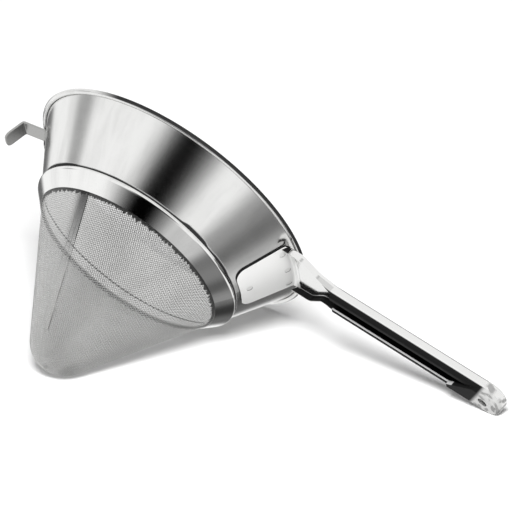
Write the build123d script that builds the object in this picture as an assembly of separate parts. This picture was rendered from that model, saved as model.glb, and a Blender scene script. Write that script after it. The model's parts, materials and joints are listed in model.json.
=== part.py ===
from build123d import *
import math
import os

# Fine-mesh conical strainer with a channel handle and a pot hook, in millimetres.
# It is drawn upright: the cone's axis is Z, the rim's plane is z = 0, the tip points down and the handle
# points along +X. At the end the whole strainer is laid down on three points, as it lies on a table: the
# rounded tip, the handle's end and one point of the rim. There the origin is the middle of the footprint.

# Rim and body
rim_radius = 100.0
rim_bead_diameter = 3.6
rim_bead_drop = 1.2
body_sheet = 0.9
body_half_angle = 30.0
rim_curl_angle = 285.0
collar_bend_radius = 3.0

# Retaining ring, given by its shoulder, which stands out from the body wall, and by its lip and its band
ring_sheet = 0.8
ring_upper_height = -44.6
ring_step = 2.7
ring_band_drop = 9.2
ring_band_run_in = 8.3
ring_lip_rise = 2.1
ring_shoulder_radius = 1.2

# Mesh cone
mesh_sheet = 0.5
mesh_half_angle = 29.6
mesh_knee_radius = 4.0
mesh_tip_radius = 22.0
mesh_tuck = 7.5
seam_azimuth = -110.0
seam_width = 6.0
seam_end_margin = 2.0

# Handle
handle_sheet = 1.2
handle_drop = 6.0
handle_slope = 4.8
handle_length = 168.5
handle_width = 22.0
handle_depth = 9.4
handle_corner_radius = 2.8
handle_root = 16.0
flare_half_width = 24.4
flare_length = 8.0
flare_corner_radius = 7.0
neck_length = 19.0
neck_half_width = 14.6
flare_wall_depth = 5.4
neck_wall_depth = 7.4
lip_width = 5.6
lip_start = 32.0
hanging_hole_diameter = 7.0
hanging_hole_margin = 12.5

# End flap: the sheet folded back under the handle's end, cut square over one lip and slanted from there on
flap_step = 1.8
flap_margin = 42.5
flap_run = 26.0

# Tab of the handle on the body
tab_half_angle = 14.0
tab_bottom = -38.5
tab_corner_radius = 8.0
tab_bend_radius = 2.4
tab_stub = 4.5
tab_clear = 3.6

# Pot hook
hook_width = 13.4
hook_sheet = 1.4
hook_level = -4.2
hook_gap = 12.5
hook_leg_fall = 1.6
hook_leg_length = 14.6
hook_leg_splay = 4.5
hook_foot_bottom = -13.0
hook_bend_radius = 2.0
hook_end_radius = 4.0

# Spot welds
weld_diameter = 4.2
weld_dimple = 0.25
weld_depth = 0.45
tab_weld_high = -9.8
tab_weld_low = -33.0
tab_weld_azimuth = 10.5
hook_weld_offset = 3.6
hook_weld_height = -9.4

# Fits and cutting room
stack_gap = 0.05
weld_gap = 0.02
cut_room = 30.0

# Shares, turns and counts
half_share = 0.5
full_turn = 360.0
half_turn = 180.0
quarter_turn = 90.0
settle_steps = 30

body_cos = math.cos(math.radians(body_half_angle))
body_sin = math.sin(math.radians(body_half_angle))
mesh_cos = math.cos(math.radians(mesh_half_angle))
mesh_sin = math.sin(math.radians(mesh_half_angle))

# Rim bead and body wall: the wall's centre line leaves the bead's circle at its inner side
bead_radius = rim_bead_diameter * half_share
curl_radius = bead_radius - body_sheet * half_share
bead_center = (rim_radius - bead_radius, -rim_bead_drop)
wall_top = (bead_center[0] - curl_radius * body_cos, bead_center[1] + curl_radius * body_sin)


def wall_radius(height):
    """Radius of the body wall's centre line."""
    return wall_top[0] + (height - wall_top[1]) * body_sin / body_cos


def wall_outer(height):
    """Radius of the body wall's outer face."""
    return wall_radius(height) + body_sheet * half_share / body_cos


# The ring's band, the mesh and the collar lie in a stack: each centre line is set in from the ring's face
ring_upper_radius = wall_outer(ring_upper_height) + ring_step
band_run = math.hypot(ring_band_run_in, ring_band_drop)
band_down_r = -ring_band_run_in / band_run
band_down_z = -ring_band_drop / band_run
ring_inset = ring_sheet * half_share
mesh_inset = ring_sheet + stack_gap + mesh_sheet * half_share
collar_inset = ring_sheet + stack_gap + mesh_sheet + stack_gap + body_sheet * half_share


def on_band(inset, down):
    """A point set in from the ring's outer face, at a distance down from the band's upper end."""
    return (
        ring_upper_radius + inset * band_down_z + down * band_down_r,
        ring_upper_height - inset * band_down_r + down * band_down_z,
    )


def spun_sheet(lines, sheet):
    """A sheet of one thickness turned about the cone's axis along its centre line."""
    return revolve(Plane.XZ * trace(lines, sheet), Axis.Z, full_turn).clean().solid()


def cone_core(offset):
    """The solid inside the body's outer face, grown by an offset, from below the tab to above the rim."""
    low = tab_bottom - cut_room
    grown = offset / body_cos
    profile = Polyline(
        (0, low),
        (wall_outer(low) + grown, low),
        (wall_outer(cut_room) + grown, cut_room),
        (0, cut_room),
        close=True,
    )
    return revolve(Plane.XZ * make_face(profile), Axis.Z, full_turn)


# Body: collar, wall and rolled rim
collar_top = on_band(collar_inset, 0)
collar_end = on_band(collar_inset, band_run)
collar_slope = band_down_r / band_down_z
wall_slope = body_sin / body_cos
bend_height = (wall_radius(0) - collar_top[0] + collar_slope * collar_top[1]) / (collar_slope - wall_slope)
collar_bend = (wall_radius(bend_height), bend_height)
wall_line = FilletPolyline(collar_end, collar_bend, wall_top, radius=collar_bend_radius)
curl_line = CenterArc(bead_center, curl_radius, half_turn - body_half_angle, -rim_curl_angle)
body = spun_sheet([wall_line, curl_line], body_sheet)

# Retaining ring: a conical band with a rounded shoulder and a lip on the body
ring_lip_height = ring_upper_height + ring_lip_rise
ring_lip = (wall_outer(ring_lip_height) + ring_inset, ring_lip_height)
ring_line = FilletPolyline(
    ring_lip,
    on_band(ring_inset, 0),
    on_band(ring_inset, band_run),
    radius=ring_shoulder_radius,
)
ring = spun_sheet([ring_line], ring_sheet)

# Mesh cone: tucked under the ring, straight down to a rounded tip, with a lap seam on its outer face
mesh_top = on_band(mesh_inset, band_run - mesh_tuck)
mesh_knee = on_band(mesh_inset, band_run)
mesh_apex = mesh_knee[1] - mesh_knee[0] * mesh_cos / mesh_sin
tip_center = mesh_apex + mesh_tip_radius / mesh_sin
tip_tangent = (mesh_tip_radius * mesh_cos, tip_center - mesh_tip_radius * mesh_sin)
mesh_line = FilletPolyline(mesh_top, mesh_knee, tip_tangent, radius=mesh_knee_radius)
tip_line = CenterArc((0, tip_center), mesh_tip_radius, -mesh_half_angle, mesh_half_angle - quarter_turn)
mesh = spun_sheet([mesh_line, tip_line], mesh_sheet)


def on_mesh(radius, lift):
    """A point of the mesh's cone at a radius, lifted off its centre line."""
    return (radius + lift * mesh_cos, mesh_apex + radius * mesh_cos / mesh_sin - lift * mesh_sin)


seam_start_radius = mesh_knee[0] - mesh_knee_radius * half_share
seam_end_radius = tip_tangent[0] + seam_end_margin
seam_inner = mesh_sheet * half_share
seam_outer = seam_inner + mesh_sheet
seam_profile = Polyline(
    on_mesh(seam_start_radius, seam_inner),
    on_mesh(seam_start_radius, seam_outer),
    on_mesh(seam_end_radius, seam_outer),
    on_mesh(seam_end_radius, seam_inner),
    close=True,
)
seam_shell = revolve(Plane.XZ * make_face(seam_profile), Axis.Z, full_turn)
seam_bar = Box(rim_radius, seam_width, rim_radius, align=(Align.MIN, Align.CENTER, Align.MAX))
seam_bar = Rot(0, 0, seam_azimuth) * Pos(0, 0, mesh_knee[1]) * seam_bar
mesh = (mesh + (seam_shell & seam_bar)).clean().solid()

# Handle: drawn in the plane of its web's top face, from the rim outward
web_plane = Plane(
    origin=(rim_radius, 0, -handle_drop),
    x_dir=(math.cos(math.radians(handle_slope)), 0, -math.sin(math.radians(handle_slope))),
    z_dir=(math.sin(math.radians(handle_slope)), 0, math.cos(math.radians(handle_slope))),
)


def handle_outline(inset):
    """The handle's plan, set in from its outer edge except at the root."""
    side = [
        (-handle_root, flare_half_width - inset),
        (flare_length, flare_half_width - inset),
        (neck_length, neck_half_width - inset),
        (lip_start, handle_width * half_share - inset),
    ]
    end_half = handle_width * half_share - inset
    tip = handle_length - inset
    straight = tip - end_half
    outline = FilletPolyline(*side, (straight, end_half), radius=flare_corner_radius)
    outline += ThreePointArc((straight, end_half), (tip, 0), (straight, -end_half))
    lower = [(x, -y) for x, y in side]
    outline += FilletPolyline((straight, -end_half), *reversed(lower), radius=flare_corner_radius)
    outline += Line((-handle_root, -side[0][1]), (-handle_root, side[0][1]))
    return make_face(outline)


def rounded_slab(inset, top, bottom, radius):
    """The handle's plan as a slab with rounded upper and lower edges."""
    slab = extrude(Pos(0, 0, bottom) * handle_outline(inset), top - bottom)
    rims = slab.faces().sort_by(Axis.Z)[-1].edges() + slab.faces().sort_by(Axis.Z)[0].edges()
    root = slab.faces().sort_by(Axis.X)[0].edges()
    return fillet([edge for edge in rims if edge not in root], radius)


shell = rounded_slab(0, 0, -handle_depth, handle_corner_radius)
hollow = rounded_slab(
    handle_sheet, -handle_sheet, handle_sheet - handle_depth, handle_corner_radius - handle_sheet
)
handle_half = handle_width * half_share
flap_start = handle_length - flap_margin
flap_edge = Polyline(
    (flap_start, cut_room),
    (flap_start, handle_half - lip_width),
    (flap_start + flap_run, -handle_half),
    (flap_start + flap_run, -cut_room),
    (handle_length + cut_room, -cut_room),
    (handle_length + cut_room, cut_room),
    close=True,
)
flap_area = extrude(make_face(flap_edge), cut_room, both=True)
flap = rounded_slab(0, 0, -handle_depth - flap_step, handle_corner_radius) & flap_area
slot_width = handle_width - lip_width * 2
slot = Box(handle_length - lip_start, slot_width, handle_depth, align=(Align.MIN, Align.CENTER, Align.MAX))
slot = Pos(lip_start, 0, -handle_depth * half_share) * slot - flap_area
under = Polyline(
    (-handle_root, -flare_wall_depth),
    (neck_length, -flare_wall_depth),
    (lip_start, -neck_wall_depth),
    (lip_start, -cut_room),
    (-handle_root, -cut_room),
    close=True,
)
under_cut = extrude(Plane.XZ * make_face(under), flare_half_width + cut_room, both=True)
hanging_hole_reach = handle_length - hanging_hole_margin
hanging_hole = Pos(hanging_hole_reach, 0, 0) * Cylinder(hanging_hole_diameter * half_share, cut_room * 2)
handle = web_plane.location * (shell + flap - hollow - slot - under_cut - hanging_hole)

# Tab: a strip bent down from the web onto the body, turned about the cone's axis
tab_lift = stack_gap + handle_sheet * half_share
web_level = -handle_drop - handle_sheet * half_share
tab_foot = (wall_outer(tab_bottom) + tab_lift * body_cos, tab_bottom - tab_lift * body_sin)
tab_root = (wall_outer(web_level) + tab_lift / body_cos, web_level)
tab_line = FilletPolyline(
    tab_foot, tab_root, (tab_root[0] + tab_stub, web_level), radius=tab_bend_radius
)
tab = revolve(Plane.XZ * trace([tab_line], handle_sheet), Axis.Z, tab_half_angle * 2)
tab = Rot(0, 0, -tab_half_angle) * tab
tab_corners = tab.faces().sort_by(Axis.Z)[0].edges().sort_by(SortBy.LENGTH)[:2]
tab = fillet(tab_corners, tab_corner_radius)
handle = (handle - cone_core(tab_clear) + tab).clean()

# Pot hook: drawn toward +X along its centre line, then turned to the side opposite the handle
hook_lift = stack_gap + hook_sheet * half_share
hook_foot = (
    wall_outer(hook_foot_bottom) + hook_lift * body_cos,
    hook_foot_bottom - hook_lift * body_sin,
)
hook_root = (wall_outer(hook_level) + hook_lift / body_cos, hook_level)
hook_corner = (rim_radius + hook_gap, hook_level - hook_leg_fall)
hook_end = (hook_corner[0] + hook_leg_splay, hook_corner[1] - hook_leg_length)
hook_line = FilletPolyline(hook_foot, hook_root, hook_corner, hook_end, radius=hook_bend_radius)
hook = extrude(Plane.XZ * trace([hook_line], hook_sheet), hook_width * half_share, both=True)
end_face = hook.faces().sort_by_distance(Vector(hook_end[0], 0, hook_end[1]))[0]
foot_face = hook.faces().sort_by_distance(Vector(hook_foot[0], 0, hook_foot[1]))[0]
hook_corners = end_face.edges().sort_by(SortBy.LENGTH)[:2] + foot_face.edges().sort_by(SortBy.LENGTH)[:2]
hook = Rot(0, 0, half_turn) * fillet(hook_corners, hook_end_radius)


def welds(spots, sheet):
    """Weld nuggets through a sheet into the body, and the holes that they fill."""
    nuggets = []
    holes = []
    for azimuth, height in spots:
        seat = Plane(
            origin=on_wall(azimuth, height),
            z_dir=on_cone_normal(azimuth),
        )
        reach = weld_depth + stack_gap + sheet
        nugget = Cylinder(
            weld_diameter * half_share,
            reach - weld_dimple,
            align=(Align.CENTER, Align.CENTER, Align.MIN),
        )
        hole = Cylinder(
            weld_diameter * half_share + weld_gap,
            reach + sheet,
            align=(Align.CENTER, Align.CENTER, Align.MIN),
        )
        nuggets.append(seat.location * Pos(0, 0, -weld_depth) * nugget)
        holes.append(seat.location * Pos(0, 0, -weld_depth - weld_gap) * hole)
    return nuggets, holes


def on_cone_normal(azimuth):
    """The body wall's outward normal at an azimuth."""
    turn = math.radians(azimuth)
    return (body_cos * math.cos(turn), body_cos * math.sin(turn), -body_sin)


def on_wall(azimuth, height):
    """A point of the body wall's outer face."""
    turn = math.radians(azimuth)
    radius = wall_outer(height)
    return (radius * math.cos(turn), radius * math.sin(turn), height)


tab_spots = [(azimuth, tab_weld_high) for azimuth in (-tab_weld_azimuth, 0, tab_weld_azimuth)]
tab_spots.append((0, tab_weld_low))
hook_turn = math.degrees(math.asin(hook_weld_offset / wall_outer(hook_weld_height)))
hook_spots = [(half_turn + turn, hook_weld_height) for turn in (-hook_turn, hook_turn)]
tab_nuggets, tab_holes = welds(tab_spots, handle_sheet)
hook_nuggets, hook_holes = welds(hook_spots, hook_sheet)
body = (body - tab_holes - hook_holes).clean()
handle = (handle - tab_holes).clean()
hook = (hook - hook_holes).clean()

# Lying pose: the table touches the rounded tip, the ring's shoulder and the handle's rounded end
tip_reach = mesh_tip_radius + mesh_sheet * half_share
shoulder = ring_line.edges().filter_by(GeomType.CIRCLE)[0].arc_center
shoulder_reach = ring_shoulder_radius + ring_sheet * half_share
rise = shoulder.Y - tip_center
span = math.hypot(rise, shoulder.X)
tilt = math.atan2(rise, shoulder.X) + math.asin((tip_reach - shoulder_reach) / span)
lowest = tip_center * math.cos(tilt) - tip_reach
end_radius = handle_half - handle_corner_radius
end_center = web_plane.from_local_coords(
    Vector(handle_length - handle_half, 0, handle_corner_radius - handle_depth - flap_step)
)
up = Vector(0, 0, 1)
for step in range(settle_steps):
    across = math.sqrt(1 - up.dot(web_plane.z_dir) ** 2)
    support = end_radius * across + handle_corner_radius
    along = (lowest + support - end_center.Z * math.cos(tilt)) / (end_center.X * math.sin(tilt))
    up = Vector(along * math.sin(tilt), -math.sqrt(1 - along**2) * math.sin(tilt), math.cos(tilt))
table = Plane(origin=up * lowest, x_dir=Vector(1, 0, 0) - up * up.X, z_dir=up)

pieces = {
    "body_shell": body,
    "retaining_ring": ring,
    "mesh_cone": mesh,
    "handle": handle,
    "pot_hook": hook,
    "handle_spot_welds": Compound(children=tab_nuggets),
    "hook_spot_welds": Compound(children=hook_nuggets),
}
laid = {name: table.location.inverse() * piece for name, piece in pieces.items()}
footprint = Compound(children=[Compound(children=piece.solids()) for piece in laid.values()]).bounding_box()
center = footprint.center()
os.makedirs("parts", exist_ok=True)
for name, piece in laid.items():
    placed = Pos(-center.X, -center.Y, 0) * piece
    export_step(placed, f"parts/{name}.step")
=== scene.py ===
# %% [markdown]
# # A fine-mesh conical strainer, dressed for its photograph
#
# The strainer comes from a CAD model: a spun steel body with a rolled rim, a retaining ring, a cone of
# woven wire cloth, a channel handle, a pot hook and their spot welds. The CAD solids already have the right
# shapes and sizes, so this lesson keeps them all and works on what CAD can't show: polished and brushed
# steel, wire cloth that light passes through, and a studio whose reflections make steel look like steel.

import json
import math

import bpy
import numpy as np
from mathutils import Matrix, Vector


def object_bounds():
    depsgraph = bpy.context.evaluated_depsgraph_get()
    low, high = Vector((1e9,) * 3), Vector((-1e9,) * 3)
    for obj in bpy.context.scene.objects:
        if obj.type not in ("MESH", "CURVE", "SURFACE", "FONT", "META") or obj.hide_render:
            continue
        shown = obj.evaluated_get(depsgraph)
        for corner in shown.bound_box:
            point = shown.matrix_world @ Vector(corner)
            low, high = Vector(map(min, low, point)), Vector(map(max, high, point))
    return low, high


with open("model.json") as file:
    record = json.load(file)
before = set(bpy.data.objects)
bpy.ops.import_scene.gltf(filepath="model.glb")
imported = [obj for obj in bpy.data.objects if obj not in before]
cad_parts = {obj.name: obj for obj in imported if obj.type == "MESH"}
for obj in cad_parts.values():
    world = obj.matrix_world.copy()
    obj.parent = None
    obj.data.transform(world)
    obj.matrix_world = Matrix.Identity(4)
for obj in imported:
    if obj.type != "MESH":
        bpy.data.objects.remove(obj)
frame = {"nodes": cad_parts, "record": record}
cad_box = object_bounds()
nodes = frame["nodes"]

MM = 0.001
print("CAD box, mm:", [[round(value / MM, 1) for value in corner] for corner in cad_box])

# %% [markdown]
# ## Where the cone is
#
# Every finish on a spun part follows its axis: polishing lines run round it, and the wire cloth was rolled
# up about it. The retaining ring is a figure of revolution, so its points tell where the axis is. The
# direction in which they spread least is the axis, and their middle lies on it. The hanging hole then shows
# which way the handle points, and that fixes the angle zero.

# %% Find the cone's axis


def points_of(node):
    """All vertices of a CAD node as rows of numbers."""
    return np.array([vertex.co for vertex in nodes[node].data.vertices], float)


ring_points = points_of("retaining_ring")
ring_middle = ring_points.mean(axis=0)
spread = np.linalg.svd(ring_points - ring_middle, full_matrices=False)[2]
axis = Vector(spread[2])
handle_mount = next(m for m in frame["record"]["mounts"] if m["name"] == "hanging_hole")
if axis.dot(Vector(handle_mount["axis"])) < 0:
    axis = -axis
toward_handle = Vector(handle_mount["pos_m"]) - Vector(ring_middle)
toward_handle -= axis * toward_handle.dot(axis)
toward_handle.normalize()
sideways = axis.cross(toward_handle)
print("axis", [round(value, 4) for value in axis], "handle", [round(value, 4) for value in toward_handle])

# %% [markdown]
# ## How high the pieces stand on the axis
#
# Shade is painted in the joint above the ring and on one side of the rolled rim. The heights of both along
# the axis are measured on the CAD points, from the ring's middle, so the finishes follow the CAD shapes.

# %% Measure the ring and the rim


def cone_places(points):
    """Radius, angle and height of points about the cone's axis, in metres and radians."""
    offset = points - ring_middle
    along = offset @ np.array(toward_handle)
    across = offset @ np.array(sideways)
    return np.hypot(along, across), np.arctan2(across, along), offset @ np.array(axis)


ring_radii, _, ring_heights = cone_places(ring_points)
ring_radius = ring_radii.mean() / MM
ring_low = ring_heights.min() / MM
ring_top = ring_heights.max() / MM
rim_top = cone_places(points_of("body_shell"))[2].max() / MM
print("ring from", round(ring_low, 1), "to", round(ring_top, 1), "mm, rim at", round(rim_top, 1), "mm")

# %% [markdown]
# ## Writing shader maths as plain expressions
#
# A node tree is easier to read as a formula. `Value` wraps one socket that carries a number, and its
# operators add the Math nodes, so `1 - dirt` is a node too.

# %% A number in a node tree


class Value:
    """A number that varies over the surface."""

    def __init__(self, tree, socket):
        self.tree = tree
        self.socket = socket

    def math(self, operation, *others):
        return self.tree.number(operation, self, *others)

    def __add__(self, other):
        return self.math("ADD", other)

    def __sub__(self, other):
        return self.math("SUBTRACT", other)

    def __rsub__(self, other):
        return self.tree.number("SUBTRACT", other, self)

    def __mul__(self, other):
        return self.math("MULTIPLY", other)

    def __truediv__(self, other):
        return self.math("DIVIDE", other)

    __radd__ = __add__
    __rmul__ = __mul__


# %% [markdown]
# ## One method for all other nodes
#
# `NodeTree.node` takes a node's type, its settings, then the values or links of its sockets. The other
# methods are short names for the nodes that this lesson needs often: a Math node, a soft step, a mix of two
# colours, a dot product and a noise.

# %% The nodes of a material or world


class NodeTree:
    """The nodes of one material or world."""

    def __init__(self, tree):
        self.tree = tree
        self.tree.nodes.clear()

    def node(self, kind, settings=None, sockets=None):
        """Adds a node, sets it up, then fills or links its sockets by name or number."""
        made = self.tree.nodes.new("ShaderNode" + kind)
        for name, value in (settings or {}).items():
            setattr(made, name, value)
        for name, value in (sockets or {}).items():
            socket = made.inputs[name]
            source = value.socket if isinstance(value, Value) else value
            if isinstance(source, bpy.types.NodeSocket):
                self.tree.links.new(source, socket)
            else:
                socket.default_value = source
        return made

    def number(self, operation, *values):
        """A Math node."""
        made = self.node("Math", {"operation": operation}, dict(enumerate(values)))
        return Value(self, made.outputs[0])

    def smooth(self, value, low, high):
        """0 below low, 1 above high, and an even S between."""
        settings = {"interpolation_type": "SMOOTHSTEP"}
        sockets = {"Value": value, "From Min": low, "From Max": high}
        return Value(self, self.node("MapRange", settings, sockets).outputs["Result"])

    def most(self, first, second):
        """The larger of two numbers, which joins two masks."""
        return self.number("MAXIMUM", first, second)

    def blend(self, factor, first, second):
        """A colour between two colours. The first may be a link from another node."""
        if isinstance(first, tuple):
            first = (*first, 1)
        return self.node("Mix", {"data_type": "RGBA"}, {0: factor, 6: first, 7: (*second, 1)}).outputs[2]

    def vector(self, x, y, z):
        """A vector from three numbers."""
        return self.node("CombineXYZ", None, {0: x, 1: y, 2: z}).outputs[0]

    def minus(self, first, second):
        """The difference of two vectors."""
        return self.node("VectorMath", {"operation": "SUBTRACT"}, {0: first, 1: second}).outputs[0]

    def dot(self, first, second):
        """The dot product of two vectors."""
        made = self.node("VectorMath", {"operation": "DOT_PRODUCT"}, {0: first, 1: second})
        return Value(self, made.outputs["Value"])

    def noise(self, place, scale=1.0, detail=2.0, roughness=0.5):
        """Cloudy noise from 0 to 1."""
        sockets = {"Vector": place, "Scale": scale, "Detail": detail, "Roughness": roughness}
        made = self.node("TexNoise", {"noise_dimensions": "3D"}, sockets)
        return Value(self, made.outputs[0])


# %% [markdown]
# ## What a finish knows of the surface
#
# A finish asks where a point is and which way the surface looks there. Only the object's own coordinates and
# the normal are used, because nothing in a material may depend on the camera. Where shade or a dark line is
# painted, the surface is no metal and hardly shines, so the finish fades Metallic to 0 there, and the index
# of refraction there is close to that of air.

# %% The nodes of a material
NON_METAL_IOR = 1.08


class Finish(NodeTree):
    """One material of the strainer or its studio."""

    def __init__(self, name):
        self.material = bpy.data.materials.new(name)
        self.material.use_nodes = True
        super().__init__(self.material.node_tree)

    def place(self):
        """The point on the surface, in metres."""
        return self.node("TexCoord").outputs["Object"]

    def along(self, direction, origin):
        """How far the point lies along a direction from an origin, in millimetres."""
        return self.dot(self.minus(self.place(), origin), [component / MM for component in direction])

    def facing(self, direction):
        """How much the surface looks along a direction, from -1 to 1."""
        return self.dot(self.node("NewGeometry").outputs["Normal"], direction)

    def outward(self):
        """1 on a face whose outer side looks away from the axis, else 0, whichever side is seen."""
        surface = self.node("NewGeometry").outputs
        offset = self.minus(self.place(), ring_middle)
        height = {0: axis, "Scale": self.dot(offset, axis)}
        on_axis = self.node("VectorMath", {"operation": "SCALE"}, height).outputs[0]
        away = self.dot(self.minus(offset, on_axis), surface["Normal"])
        front = 1.0 - Value(self, surface["Backfacing"]) * 2.0
        return (away * front).math("GREATER_THAN", 0.0)

    def bump(self, height, distance):
        """A normal that follows a height, in metres."""
        return self.node("Bump", None, {"Height": height, "Distance": distance}).outputs["Normal"]

    def shade(self, sockets):
        """Ends the material in one Principled shader with these sockets."""
        shader = self.node("BsdfPrincipled", None, sockets)
        self.node("OutputMaterial", None, {"Surface": shader.outputs[0]})
        return self.material

    def steel(self, sockets):
        """Ends the material in steel. Where Metallic is 0 it is painted shade or a dark line."""
        return self.shade({"Metallic": 1.0, "IOR": NON_METAL_IOR, **sockets})


# %% [markdown]
# ## Coordinates on a cone
#
# Polishing marks from a lathe run round the axis, so a finish needs to know a point's radius, its angle and
# its height there. The same three numbers unroll the wire cloth: a cone cut along its seam lies flat as a
# sector whose radius is the distance from the apex and whose angle is the real angle times the sine of the
# cone's half angle.
#
# The named numbers of the finishes follow one rule. TO_MM and TO_M say how often a pattern changes in a
# millimetre or a metre, and ROUND how often in a radian. A STEP is the two values between which a mask
# rises. Lengths are in millimetres, and a SHARE or a ROUGH is a plain number.

# %% Radius, angle and height as shader values


def round_the_axis(finish, start=math.pi):
    """Radius and height in millimetres, and the angle from -pi to pi, which jumps at the angle start."""
    turn = start - math.pi
    first = toward_handle * math.cos(turn) + sideways * math.sin(turn)
    along = finish.along(first, ring_middle)
    across = finish.along(axis.cross(first), ring_middle)
    radius = finish.number("SQRT", along * along + across * across)
    angle = finish.number("ARCTAN2", across, along)
    return radius, angle, finish.along(axis, ring_middle)


# %% [markdown]
# ## Painted shade in the joint and on the rim
#
# The body's wall goes down into the ring, and shade is painted in that joint as a dark band, more of it in
# some places than in others. The rolled rim has painted shade and a painted dark reflection, darkest on its
# near right side. Inside the bowl a fine dark line shows where the ring clamps the cloth. All of it could be
# painted as an image, but masks made of the height and the angle follow the steel exactly and stay sharp.

# %% Masks for the body's painted shade and its dark line
JOINT_SHADE_HEIGHT = 0.9
JOINT_SHADE_EDGE = 0.9
JOINT_SHADE_WAVES = 2.6
JOINT_SHADE_LAYER = 7.0
JOINT_SHADE_LINES = 0.8
JOINT_SHADE_SPOTS = ((-46.0, 10.0, 1.0), (-136.0, 18.0, 0.7), (-24.0, 9.0, 0.4))
JOINT_SHADE_CORE_SHARE = 0.4
CLAMP_DROP = 1.0
CLAMP_HALF = 0.7
BEAD = 2.8
BEAD_EDGE = 0.5
RIM_SHADED_SIDE = math.radians(57)
RIM_SHADED_STEP = (0.42, 0.66)
RIM_FAINT_SHARE = 0.12


def painted_joint_shade(finish, angle, height, lines):
    """Painted shade above the ring. Each spot has its angle and its reach in degrees, and its height in mm.
    """
    thick = JOINT_SHADE_HEIGHT + finish.noise(finish.vector(angle * JOINT_SHADE_WAVES, 0.0, JOINT_SHADE_LAYER))
    for where, reach, extra in JOINT_SHADE_SPOTS:
        near = finish.number("COSINE", angle - math.radians(where))
        edges = [math.cos(math.radians(reach * share)) for share in (1.0, JOINT_SHADE_CORE_SHARE)]
        thick = thick + finish.smooth(near, *edges) * extra
    above = height + lines * JOINT_SHADE_LINES - thick
    return 1.0 - finish.smooth(above, ring_top, ring_top + JOINT_SHADE_EDGE)


def rim_painted_shade(finish, angle, height, lines):
    """Painted shade and dark reflection on the bead of the rim, dark on one side and faint on the other."""
    shaded = finish.smooth(finish.number("COSINE", angle + RIM_SHADED_SIDE), *RIM_SHADED_STEP)
    bead = finish.smooth(height + lines, rim_top - BEAD, rim_top - BEAD + BEAD_EDGE)
    return bead * (RIM_FAINT_SHARE + shaded * (1.0 - RIM_FAINT_SHARE))


def body_shade_and_line(finish, angle, height, lines, outer):
    """Painted shade on the outside of the body's wall, and a dark line inside where the ring clamps the
    cloth.
    """
    darkening = painted_joint_shade(finish, angle, height, lines)
    clamp_line = (height + lines).math("COMPARE", ring_top - CLAMP_DROP, CLAMP_HALF) * (1.0 - outer)
    return finish.most(darkening, rim_painted_shade(finish, angle, height, lines)) * outer + clamp_line


# The joint's dark band printed here is painted shade.
print("joint dirt", JOINT_SHADE_HEIGHT, "mm high in", len(JOINT_SHADE_SPOTS), "spots, rim bead", BEAD, "mm")

# %% [markdown]
# ## Spun and polished steel
#
# The body and the ring were spun on a lathe and polished while they turned. That leaves faint lines round
# the axis, a soft mirror that is a little duller in places, and hairline scratches from use. The lines are a
# noise that changes quickly along the slope and slowly round the axis. They go into the bump, so that
# reflections smear along the slope as they do on the real body, and into the roughness. The inside is
# duller. A LAYER only keeps the noises apart, as the third number of the place where a noise is read.

# %% Finish for the body and the ring
SLOPE_SINE = 0.5
SLOPE_COSINE = 0.87
LINES_TO_MM, LINES_ROUND = 3.2, 2.0
BANDS_TO_MM, BANDS_ROUND, BANDS_LAYER = 0.35, 0.8, 4.0
STREAKS_TO_MM, STREAKS_ROUND, STREAKS_LAYER = 0.02, 7.0, 9.0
SCRATCHES_TO_MM, SCRATCHES_ROUND, SCRATCHES_SPREAD = 0.9, 46.0, 0.05
CLOUDS_TO_M = 22.0
SCRATCH_NOISE = 0.9
SCRATCH_STEP = (0.72, 0.8)
STREAK_STEP = (0.3, 0.62)
MOTTLE_LINES, MOTTLE_CLOUDS, MOTTLE_STREAKS = 0.25, 0.25, 0.5
ROUGH_BASE, ROUGH_LINES, ROUGH_BANDS, ROUGH_CLOUDS = 0.72, 0.25, 0.22, 0.12
SCRATCH_ROUGH, SCRATCH_DEPTH = 0.06, 0.4
INSIDE_ROUGH = 0.42
DARKEST_SHARE = 0.82
LIGHTEST_SHARE = 1.05
SHADE_AND_LINE_COLOUR = (0.02, 0.02, 0.02)
BRIGHT = (0.86, 0.86, 0.85)
BRIGHTEST = (0.9, 0.9, 0.89)
BODY_LINE_DEPTH = 0.012 * MM
RING_LINE_DEPTH = 0.008 * MM


def lathe_marks(finish, radius, angle, height):
    """Lines, bands, scratches and streaks that a lathe and long use leave, each from 0 to 1."""
    slope = radius * SLOPE_SINE + height * SLOPE_COSINE
    lines_at = finish.vector(slope * LINES_TO_MM, angle * LINES_ROUND, 0.0)
    bands_at = finish.vector(slope * BANDS_TO_MM, angle * BANDS_ROUND, BANDS_LAYER)
    streaks_at = finish.vector(angle * STREAKS_ROUND, slope * STREAKS_TO_MM, STREAKS_LAYER)
    around = finish.vector(slope * SCRATCHES_TO_MM, angle * SCRATCHES_ROUND, radius * SCRATCHES_SPREAD)
    lines = finish.noise(lines_at, detail=3.0, roughness=0.62)
    bands = finish.noise(bands_at)
    scratches = finish.smooth(finish.noise(around, SCRATCH_NOISE, detail=1.0), *SCRATCH_STEP)
    streaks = finish.smooth(finish.noise(streaks_at, detail=4.0), *STREAK_STEP)
    return lines, bands, scratches, streaks


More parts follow.
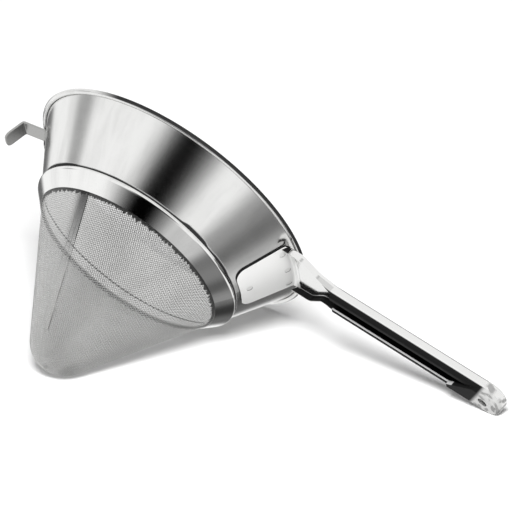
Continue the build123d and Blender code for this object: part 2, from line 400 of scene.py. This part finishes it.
def spun_steel(name, tone, dull, line_depth, shade_and_line_of=None):
    """Steel polished on a lathe. Painted shade and dark lines may be given as a function of the place and
    the lines.
    """
    finish = Finish(name)
    radius, angle, height = round_the_axis(finish)
    lines, bands, scratches, streaks = lathe_marks(finish, radius, angle, height)
    clouds = finish.noise(finish.place(), CLOUDS_TO_M, detail=3.0)
    mottle = lines * MOTTLE_LINES + clouds * MOTTLE_CLOUDS + streaks * MOTTLE_STREAKS
    darkest = tuple(part * DARKEST_SHARE for part in tone)
    lightest = tuple(min(part * LIGHTEST_SHARE, 1.0) for part in tone)
    colour = finish.blend(mottle, darkest, lightest)
    rough = dull * (ROUGH_BASE + lines * ROUGH_LINES + bands * ROUGH_BANDS + clouds * ROUGH_CLOUDS)
    outer = finish.outward()
    rough = finish.most(rough + scratches * SCRATCH_ROUGH, INSIDE_ROUGH - outer)
    normal = finish.bump(lines + scratches * SCRATCH_DEPTH, line_depth)
    sockets = {"Roughness": rough, "Normal": normal}
    # Painted shade and dark lines darken the colour and take the metal away.
    if shade_and_line_of is not None:
        shade_and_line = shade_and_line_of(finish, angle, height, lines, outer)
        colour = finish.blend(shade_and_line, colour, SHADE_AND_LINE_COLOUR)
        sockets["Metallic"] = 1.0 - shade_and_line
    return finish.steel({"Base Color": colour, **sockets})


body_steel = spun_steel("spun_steel_body", BRIGHT, 0.17, BODY_LINE_DEPTH, shade_and_line_of=body_shade_and_line)
ring_steel = spun_steel("spun_steel_ring", BRIGHTEST, 0.11, RING_LINE_DEPTH)
for made in (body_steel, ring_steel):
    print(made.name, "has", len(made.node_tree.nodes), "nodes")

# %% [markdown]
# ## Pressed and buffed steel
#
# The handle and the hook were cut and bent from flat sheet and then buffed along their length. Their lines
# run straight, and the mirror is brighter than on the spun parts. The same finish serves the spot welds.
# Three masks change it in places: black painted shade, bare sheared edges and a frosted look.

# %% Finish for pressed sheet
BUFF_LINES_TO_MM, BUFF_LINES_ALONG = 3.4, 0.05
BUFF_CLOUDS_TO_M = 35.0
BUFF_DEPTH = 0.006 * MM
BUFF_DARKEST_SHARE = 0.94
BUFF_BASE, BUFF_LINES, BUFF_CLOUDS = 0.7, 0.35, 0.3
SHEARED = (0.4, 0.4, 0.4)
# SCALE is the black of the painted shade in the handle's channel and under it.
SCALE = (0.008, 0.008, 0.008)
FROST_ROUGH = 0.35
FROST_SHARE = 0.55


def buffed_steel(name, tone, dull, direction, masks_of=None):
    """Steel buffed along a direction. A function may say where shade is painted black, where it is sheared
    and where frosted.
    """
    finish = Finish(name)
    across = direction.orthogonal().normalized()
    run, side, depth = [finish.along(d, ring_middle) for d in (direction, across, direction.cross(across))]
    sides = [part * BUFF_LINES_TO_MM for part in (side, depth)]
    lines = finish.noise(finish.vector(run * BUFF_LINES_ALONG, *sides))
    clouds = finish.noise(finish.place(), BUFF_CLOUDS_TO_M, detail=3.0)
    colour = finish.blend(clouds, tuple(part * BUFF_DARKEST_SHARE for part in tone), tone)
    rough = dull * (BUFF_BASE + lines * BUFF_LINES + clouds * BUFF_CLOUDS)
    sockets = {"Normal": finish.bump(lines, BUFF_DEPTH)}
    if masks_of is not None:
        black, sheared, frosted = masks_of(finish)
        colour = finish.blend(sheared, colour, SHEARED)
        # Here the black of the painted shade goes on.
        colour = finish.blend(black, colour, SCALE)
        rough = finish.most(rough, finish.most(black, frosted) * FROST_ROUGH)
        sockets["Metallic"] = 1.0 - finish.most(finish.most(black, sheared), frosted * FROST_SHARE)
    return finish.steel({"Base Color": colour, "Roughness": rough, **sockets})


# %% [markdown]
# ## Where shade is painted black on the handle
#
# The handle is a channel. Its inside and folded underside are painted black as shade in the channel and
# dark reflections under it, and the edge of the tab is black too. The cut faces of the lips are bare, and
# the closed end has only spots of painted shade. The mount of the hanging hole gives the channel's own
# directions, so the depth below the web, the distance from the middle line and the run along the handle are
# dot products.

# %% Directions of the handle
TAB_SLOPE = math.radians(30)

hole = Vector(handle_mount["pos_m"])
hole_depth = handle_mount["dims"]["length_mm"] / 2
web_normal = Vector(handle_mount["axis"])
down_handle = sideways.cross(web_normal).normalized()
tab_normal = toward_handle * math.cos(TAB_SLOPE) - axis * math.sin(TAB_SLOPE)
print("handle runs along", [round(value, 3) for value in down_handle])

# %% Masks for the handle, all lengths in millimetres
SHEET = 1.2
CHANNEL_SHADE_FADE = 0.3
WEB_HALF = 0.2
LIP_DEPTH = 8.25
BEND_DEPTH = 6.2
BEND_FADE = 0.6
WALL_OFFSET = 2.0
CHANNEL_START = -128.0
CHANNEL_FADE = 10.0
CAP_START = -8.0
CAP_FADE = 4.0
CAP_SHARE = 0.7
CAP_SLANT = 0.5
SPOTS_TO_M = 150.0
SPOT_STEP = (0.47, 0.6)
SPOT_DEPTHS = (1.0, 2.0)
HOLE_CLEAR = 5.0
TAB_REACH = 97.0
TAB_EDGE_STEP = (0.2, 0.6)


def channel_shade(finish, depth, run, inner_wall):
    """Black painted shade on the inner walls, under the web and round the bends of the lips."""
    inside = finish.smooth(depth, SHEET, SHEET + CHANNEL_SHADE_FADE)
    started = finish.smooth(run, CHANNEL_START, CHANNEL_START + CHANNEL_FADE)
    web = depth.math("COMPARE", SHEET, WEB_HALF) * started
    bend = finish.smooth(depth, BEND_DEPTH, BEND_DEPTH + BEND_FADE)
    return finish.most(inner_wall * inside, finish.most(web, bend))


def cap_shade_spots(finish, depth, cap):
    """Spots of painted shade on the closed end. Its outside, on top, has none."""
    spots = finish.smooth(finish.noise(finish.place(), SPOTS_TO_M), *SPOT_STEP)
    return spots * cap * finish.smooth(depth, *SPOT_DEPTHS)


def handle_masks(finish):
    """Where shade is painted black on the handle, where it is sheared and where frosted."""
    depth = hole_depth - finish.along(web_normal, hole)
    across = finish.along(sideways, hole)
    run = finish.along(down_handle, hole)
    inner_wall = (across * finish.facing(sideways)).math("LESS_THAN", -WALL_OFFSET)
    past_hole = run.math("ABSOLUTE").math("GREATER_THAN", HOLE_CLEAR)
    sheared = inner_wall * depth.math("GREATER_THAN", LIP_DEPTH) * past_hole
    on_tab = finish.along(toward_handle, ring_middle).math("LESS_THAN", TAB_REACH)
    flat = finish.smooth(finish.facing(tab_normal).math("ABSOLUTE"), *TAB_EDGE_STEP)
    cap = finish.smooth(run + across * CAP_SLANT, CAP_START, CAP_START + CAP_FADE) * CAP_SHARE
    black = channel_shade(finish, depth, run, inner_wall) * (1.0 - on_tab) * (1.0 - sheared)
    black = finish.most(black * (1.0 - cap), cap_shade_spots(finish, depth, cap))
    # The edge of the tab is black too.
    return finish.most(black, on_tab * (1.0 - flat)), sheared, on_tab


# %% [markdown]
# ## The welds and the hook
#
# A spot weld's heat leaves the steel as dull as the tab round it, and a weld gets no painted shade and no
# sheared edge. The hook is a darker and duller grey than the handle.

# %% Finishes for the handle, the hook and the welds
HOOK_GREY = (0.42, 0.42, 0.41)
WELD_GREY = (0.78, 0.78, 0.77)


def weld_masks(finish):
    """Frosted on the side that is seen, and otherwise plain."""
    return 0.0, 0.0, finish.outward()


handle_steel = buffed_steel("buffed_steel_handle", BRIGHT, 0.11, toward_handle, masks_of=handle_masks)
hook_steel = buffed_steel("buffed_steel_hook", HOOK_GREY, 0.24, toward_handle)
weld_steel = buffed_steel("weld_steel", WELD_GREY, 0.2, sideways, masks_of=weld_masks)
for made in (handle_steel, hook_steel, weld_steel):
    print(made.name, "has", len(made.node_tree.nodes), "nodes")

# %% [markdown]
# ## The cone of the cloth
#
# To unroll the cloth its apex has to be known. The CAD cone is straight between the ring and the rounded
# tip, so a line fitted to the radius and height of the points there gives the half angle and the apex.

# %% Fit the cone
STRAIGHT_SHARES = (0.25, 0.7)

mesh_radii, _, mesh_heights = cone_places(points_of("mesh_cone"))
upper, lower = [mesh_heights.min() * share for share in STRAIGHT_SHARES]
straight = (mesh_heights < upper) & (mesh_heights > lower)
fit = np.polyfit(mesh_heights[straight], mesh_radii[straight], 1)
half_angle = math.atan(fit[0])
apex_height = -fit[1] / fit[0] / MM
print("half angle", round(math.degrees(half_angle), 2), "degrees, apex at", round(apex_height, 1), "mm")

# %% [markdown]
# ## A plain weave
#
# Two sets of wires cross over and under each other, and light passes between them. In the unrolled cloth
# they are two sets of straight lines. The wires could be modelled one by one, but there are more than ten
# thousand crossings, so a mask gives their cover and a wave gives their height. Alpha takes the cover and
# Bump the height. A slow noise bends the wires a little, as forming the cone does.

# %% Wires of the cloth
PITCH = 1.25
WIRE_SHARE = 0.45
WIRE_EDGE = 0.08
SAG, SAG_ROUND, SAG_TO_MM = 1.4, 1.6, 0.03


def wires(finish, count):
    """1 on the wires of one set and 0 between them. The place is counted in pitches."""
    wave = finish.number("PINGPONG", count, 0.5) * 2.0
    return finish.smooth(wave, 1.0 - WIRE_SHARE - WIRE_EDGE, 1.0 - WIRE_SHARE + WIRE_EDGE)


def weave(finish, angle, radius, height):
    """Where there is wire, and how high it rises at a crossing."""
    fall = height - apex_height
    slant = finish.number("SQRT", radius * radius + fall * fall)
    flat_angle = angle * math.sin(half_angle)
    sag_at = finish.vector(angle * SAG_ROUND, slant * SAG_TO_MM, 0.0)
    sag = finish.noise(sag_at, detail=1.0) * SAG
    warp = slant * finish.number("COSINE", flat_angle) / PITCH + sag
    weft = slant * finish.number("SINE", flat_angle) / PITCH - sag
    on_warp, on_weft = wires(finish, warp), wires(finish, weft)
    crossing = finish.number("COSINE", finish.number("FLOOR", warp + 0.5) * math.pi + weft * math.pi)
    rise = finish.most(on_warp * (crossing + 1.0), on_weft * (1.0 - crossing)) * 0.5
    return finish.most(on_warp, on_weft), rise


print("pitch", PITCH, "mm, open share", round((1.0 - WIRE_SHARE) ** 2, 2))

# %% [markdown]
# ## The seam and the raw edge
#
# The sector of cloth is lapped along one line, and two layers let less light through. The lap and a band
# beside it carry painted shade, darkest near the ring and fading toward the tip, with a soft painted shade
# on both sides of it. At the ring the cut ends of the wires stand out as a ragged edge darkened with painted
# shade.

# %% Masks for the seam and the raw edge, all lengths in millimetres
SEAM_ANGLE = math.radians(-110)
SEAM_BAND = 12.0
SEAM_CORE = 1.2
LAP_STEP = (2.2, 3.2)
SEAM_FADE = (-62.0, -8.0)
RAW_EDGE = 1.9
RAW_FADE = 0.6
RAGGED, RAGGED_ROUND = 8.0, 26.0


def seam_mask(finish, angle, radius, height):
    """The lap and a soft band beside it, fading toward the tip. The angle has its jump on the seam."""
    beside = (math.pi - angle) * (radius + ring_radius) / 2.0
    band = 1.0 - finish.smooth(beside, SEAM_CORE, SEAM_BAND)
    lap = 1.0 - finish.smooth((angle + math.pi) * radius, *LAP_STEP)
    return finish.most(lap, band) * finish.smooth(height, *SEAM_FADE)


def raw_mask(finish, angle, height):
    """The ragged ends of the wires under the ring."""
    ends = finish.noise(finish.vector(angle * RAGGED_ROUND, 0.0, 0.0), detail=3.0)
    ragged = ends * RAGGED - RAGGED / 2
    return finish.smooth(height - ring_low + RAW_EDGE + ragged, 0.0, RAW_FADE)


print("seam at", round(math.degrees(SEAM_ANGLE)), "degrees from the handle, with a band of", SEAM_BAND, "mm")

# %% [markdown]
# ## Woven wire cloth
#
# The finish joins the weave, the seam and the raw edge. The CAD cone is a thin solid with an outer and an
# inner face. Real cloth has only one layer, so the inner face, whose normal looks at the axis, is left
# clear.

# %% Finish for the cloth
WIRE_DARK = (0.46, 0.46, 0.45)
WIRE_LIGHT = (0.88, 0.88, 0.87)
SEAM_SHADE = (0.3, 0.3, 0.3)
SEAM_PAINTED_SHADE = (0.1, 0.1, 0.1)
RAW_EDGE_SHADE = (0.03, 0.03, 0.03)
SHADE_STEP = (-0.5, -1.0)
SHADE_SHARE, SEAM_SHARE, RAW_SHARE = 0.4, 0.9, 0.85
WIRE_CLOUDS_TO_M = 21.0
WIRE_DEPTH = 0.4 * MM
WIRE_ROUGH = 0.36


def wire_cloth(name):
    """Plain-woven wire cloth with its seam and its raw edge."""
    finish = Finish(name)
    radius, angle, height = round_the_axis(finish, SEAM_ANGLE)
    cover, rise = weave(finish, angle, radius, height)
    seam = seam_mask(finish, angle, radius, height)
    raw = raw_mask(finish, angle, height)
    near_seam = finish.smooth(finish.number("COSINE", angle), *SHADE_STEP)
    clouds = finish.noise(finish.place(), WIRE_CLOUDS_TO_M, detail=3.0)
    colour = finish.blend(clouds, WIRE_DARK, WIRE_LIGHT)
    # A soft painted shade round the seam.
    colour = finish.blend(near_seam * SHADE_SHARE, colour, SEAM_SHADE)
    # Painted shade on the lap and the band beside it.
    colour = finish.blend(seam * SEAM_SHARE, colour, SEAM_PAINTED_SHADE)
    # Painted shade under the ring on the ragged ends of the wires.
    colour = finish.blend(raw * RAW_SHARE, colour, RAW_EDGE_SHADE)
    alpha = finish.most(cover, finish.most(seam, raw)) * finish.outward()
    sockets = {"Base Color": colour, "Alpha": alpha, "Normal": finish.bump(rise, WIRE_DEPTH)}
    return finish.steel({"Roughness": WIRE_ROUGH, **sockets})


cloth = wire_cloth("wire_cloth")
print(cloth.name, "has", len(cloth.node_tree.nodes), "nodes")

# %% [markdown]
# ## Dressing the CAD pieces
#
# Each CAD piece keeps its mesh and gets one material. The list also gives each a slot name, as the CAD
# record has it, which the code doesn't use.

# %% Put the finishes on the CAD pieces
finishes = {
    "body_shell": (body_steel, "satin_steel"),
    "retaining_ring": (ring_steel, "polished_steel"),
    "mesh_cone": (cloth, "wire_mesh"),
    "handle": (handle_steel, "polished_steel"),
    "pot_hook": (hook_steel, "satin_steel"),
    "handle_spot_welds": (weld_steel, "satin_steel"),
    "hook_spot_welds": (weld_steel, "satin_steel"),
}
for name, (material, slot) in finishes.items():
    piece = nodes[name]
    piece.data.materials.clear()
    piece.data.materials.append(material)
print("finishes on", len(finishes), "pieces")

# %% [markdown]
# ## The table
#
# The photograph has a white ground that keeps the strainer's soft shadow. A large plane of almost white,
# dull paper does that: the lamp brings it just to white where nothing stands in its way. It is hidden from
# reflections, so that the steel mirrors the room alone.

# %% Make the table
TABLE_HALF = 6.0
PAPER = (0.95, 0.95, 0.95, 1)
PAPER_ROUGH = 0.9


def plane(name, corners, material):
    """A flat four-cornered sheet of the studio."""
    sheet = bpy.data.meshes.new(name)
    sheet.from_pydata(corners, [], [(0, 1, 2, 3)])
    sheet.materials.append(material)
    made = bpy.data.objects.new(name, sheet)
    bpy.context.scene.collection.objects.link(made)
    return made


paper = Finish("paper").shade({"Base Color": PAPER, "Roughness": PAPER_ROUGH})
corners = [(x * TABLE_HALF, y * TABLE_HALF, 0.0) for x, y in ((-1, -1), (1, -1), (1, 1), (-1, 1))]
table = plane("table", corners, paper)
table.visible_glossy = False
print("table", 2 * TABLE_HALF, "m wide")

# %% [markdown]
# ## The room
#
# Steel shows its surroundings, so the surroundings are the real work. The world is a white room. The camera
# sees it plain white, and the table and other dull things get only a share of its light, so that the lamp's
# shadow stays. Reflections see it with dark patches in it, like the open doors and dark walls of a real
# studio, and they give the steel its grey streaks. A patch is a direction, as azimuth and elevation, then
# the two angles where it is full and gone, in degrees, and its darkness. So its place in a reflection
# depends only on the way the steel looks.

# %% Directions and dark patches
LIGHT_SHARE = 0.2
DARK_SIDES = (
    (34, 38, 16, 36, 0.95),
    (64, -30, 8, 24, 0.68),
    (56, -54, 12, 28, 0.78),
    (29, -27, 6, 14, 0.35),
    (140, -82, 16, 32, 0.72),
    (-174, -58, 13, 29, 0.85),
    (-78, 8, 1, 13, 0.6),
    (-127, -22, 5, 16, 0.85),
)


def toward(azimuth, elevation):
    """The direction from the strainer to a place in the room, in degrees from the front and upward."""
    turn, tilt = math.radians(azimuth), math.radians(elevation)
    level = math.cos(tilt)
    return Vector((math.sin(turn) * level, -math.cos(turn) * level, math.sin(tilt)))


def dark_side(room, looking_out, azimuth, elevation, inner, outer, darkness):
    """A dark round patch of the room, full within the inner angle and gone beyond the outer one."""
    near = room.dot(looking_out, toward(azimuth, elevation))
    return room.smooth(near, math.cos(math.radians(outer)), math.cos(math.radians(inner))) * darkness


# %% Make the world
world = bpy.data.worlds.new("studio")
world.use_nodes = True
bpy.context.scene.world = world
room = NodeTree(world.node_tree)
path = room.node("LightPath").outputs
seen = Value(room, path["Is Camera Ray"]) + Value(room, path["Is Transmission Ray"])
glossy = Value(room, path["Is Glossy Ray"])
looking_out = room.node("TexCoord").outputs["Generated"]
room_light = 1.0
for patch in DARK_SIDES:
    room_light = room_light * (1.0 - dark_side(room, looking_out, *patch))
strength = glossy * room_light + (1.0 - glossy) * (seen * (1.0 - LIGHT_SHARE) + LIGHT_SHARE)
background = room.node("Background", None, {"Color": (1, 1, 1, 1), "Strength": strength})
room.node("OutputWorld", None, {"Surface": background.outputs[0]})
print("room with", len(DARK_SIDES), "dark patches")

# %% [markdown]
# ## A black card
#
# A polished cone in a white room would look like plaster. Photographers stand black cards, called flags,
# beside steel, and their reflections draw its shape. One slanted card in front makes the broad dark band
# down the body and the ring. It shows only in reflections: it casts no shadow, and the camera looks through
# it. Its edges fade out, as those of a card out of focus do.

# %% Stand the card in front of the strainer
CARD_CORNERS = [(-0.5, -0.35, -0.12), (0.12, -0.35, -0.12), (0.56, -0.35, 0.6), (0.05, -0.35, 0.6)]
CARD_UV = ((0, 0), (1, 0), (1, 1), (0, 1))
FADE_SIDES = 0.44
FADE_BELOW = 0.15
FADE_ABOVE = 0.3


def black_card():
    """A material that is black in the middle and clear along its edges."""
    card = Finish("front_flag")
    parts = card.node("SeparateXYZ", None, {0: card.node("TexCoord").outputs["UV"]})
    side, high = Value(card, parts.outputs[0]), Value(card, parts.outputs[1])
    shown = card.smooth(side, 0.0, FADE_SIDES) * card.smooth(1.0 - side, 0.0, FADE_SIDES)
    shown = shown * card.smooth(high, 0.0, FADE_BELOW) * card.smooth(1.0 - high, 0.0, FADE_ABOVE)
    black = card.node("Emission", None, {"Color": (0, 0, 0, 1), "Strength": 0.0}).outputs[0]
    clear = card.node("BsdfTransparent").outputs[0]
    mixed = card.node("MixShader", None, {0: shown, 1: clear, 2: black})
    card.node("OutputMaterial", None, {"Surface": mixed.outputs[0]})
    return card.material


flag = plane("front_flag", CARD_CORNERS, black_card())
layer = flag.data.uv_layers.new(name="card")
for loop, place in zip(layer.data, CARD_UV):
    loop.uv = place
for ray in ("camera", "diffuse", "shadow", "transmission", "volume_scatter"):
    setattr(flag, f"visible_{ray}", False)
print("card", [round(size, 2) for size in flag.dimensions], "m")

# %% [markdown]
# ## The lamp
#
# The photograph's shadow is soft and lies close under the strainer. One large square lamp above the camera
# gives such a shadow. The lamp itself is hidden from reflections, since the room does their work.

# %% Hang the lamp
LAMP_AZIMUTH = 31
LAMP_ELEVATION = 44
LAMP_DISTANCE = 5.0
LAMP_SIZE = 1.7
LAMP_WATTS = 430.0

lamp = bpy.data.lights.new("key", "AREA")
lamp.shape = "SQUARE"
lamp.size = LAMP_SIZE
lamp.energy = LAMP_WATTS
softbox = bpy.data.objects.new("key", lamp)
bpy.context.scene.collection.objects.link(softbox)
middle = (cad_box[0] + cad_box[1]) / 2
toward_lamp = toward(LAMP_AZIMUTH, LAMP_ELEVATION)
softbox.location = middle + toward_lamp * LAMP_DISTANCE
softbox.rotation_mode = "QUATERNION"
softbox.rotation_quaternion = toward_lamp.to_track_quat("Z", "Y")
softbox.visible_glossy = False
print("lamp at", [round(value, 2) for value in softbox.location])

# %% [markdown]
# ## The camera
#
# The photograph looks down on the strainer from its near right side, and its lines stay almost parallel. So
# the camera stands 12 m away with a very long lens, and the rim's middle fixes where it aims.

# %% Place the camera
VIEW_AZIMUTH = 32.72
VIEW_ELEVATION = 23.37
VIEW_ROLL = -0.7
VIEW_DISTANCE = 12.0
FRAME_WIDTH = 0.323
SENSOR = 36.0
AIM_RIGHT = 0.05
AIM_UP = -0.0384
SEEN_AS_FAR_AS = 50.0

back = toward(VIEW_AZIMUTH, VIEW_ELEVATION)
looking = (-back).to_track_quat("-Z", "Y").to_matrix() @ Matrix.Rotation(math.radians(VIEW_ROLL), 3, "Z")
right, upward = looking.col[0], looking.col[1]
rim_middle = Vector(ring_middle) + axis * rim_top * MM
lens = bpy.data.cameras.new("camera")
lens.type = "PERSP"
lens.sensor_width = SENSOR
lens.lens = SENSOR * VIEW_DISTANCE / FRAME_WIDTH
lens.clip_end = SEEN_AS_FAR_AS
camera = bpy.data.objects.new("camera", lens)
bpy.context.scene.collection.objects.link(camera)
bpy.context.scene.camera = camera
camera.rotation_mode = "QUATERNION"
camera.location = rim_middle + right * AIM_RIGHT + upward * AIM_UP + back * VIEW_DISTANCE
camera.rotation_quaternion = looking.to_quaternion()
bpy.context.scene.view_settings.view_transform = "Standard"
print("lens", round(lens.lens), "mm")
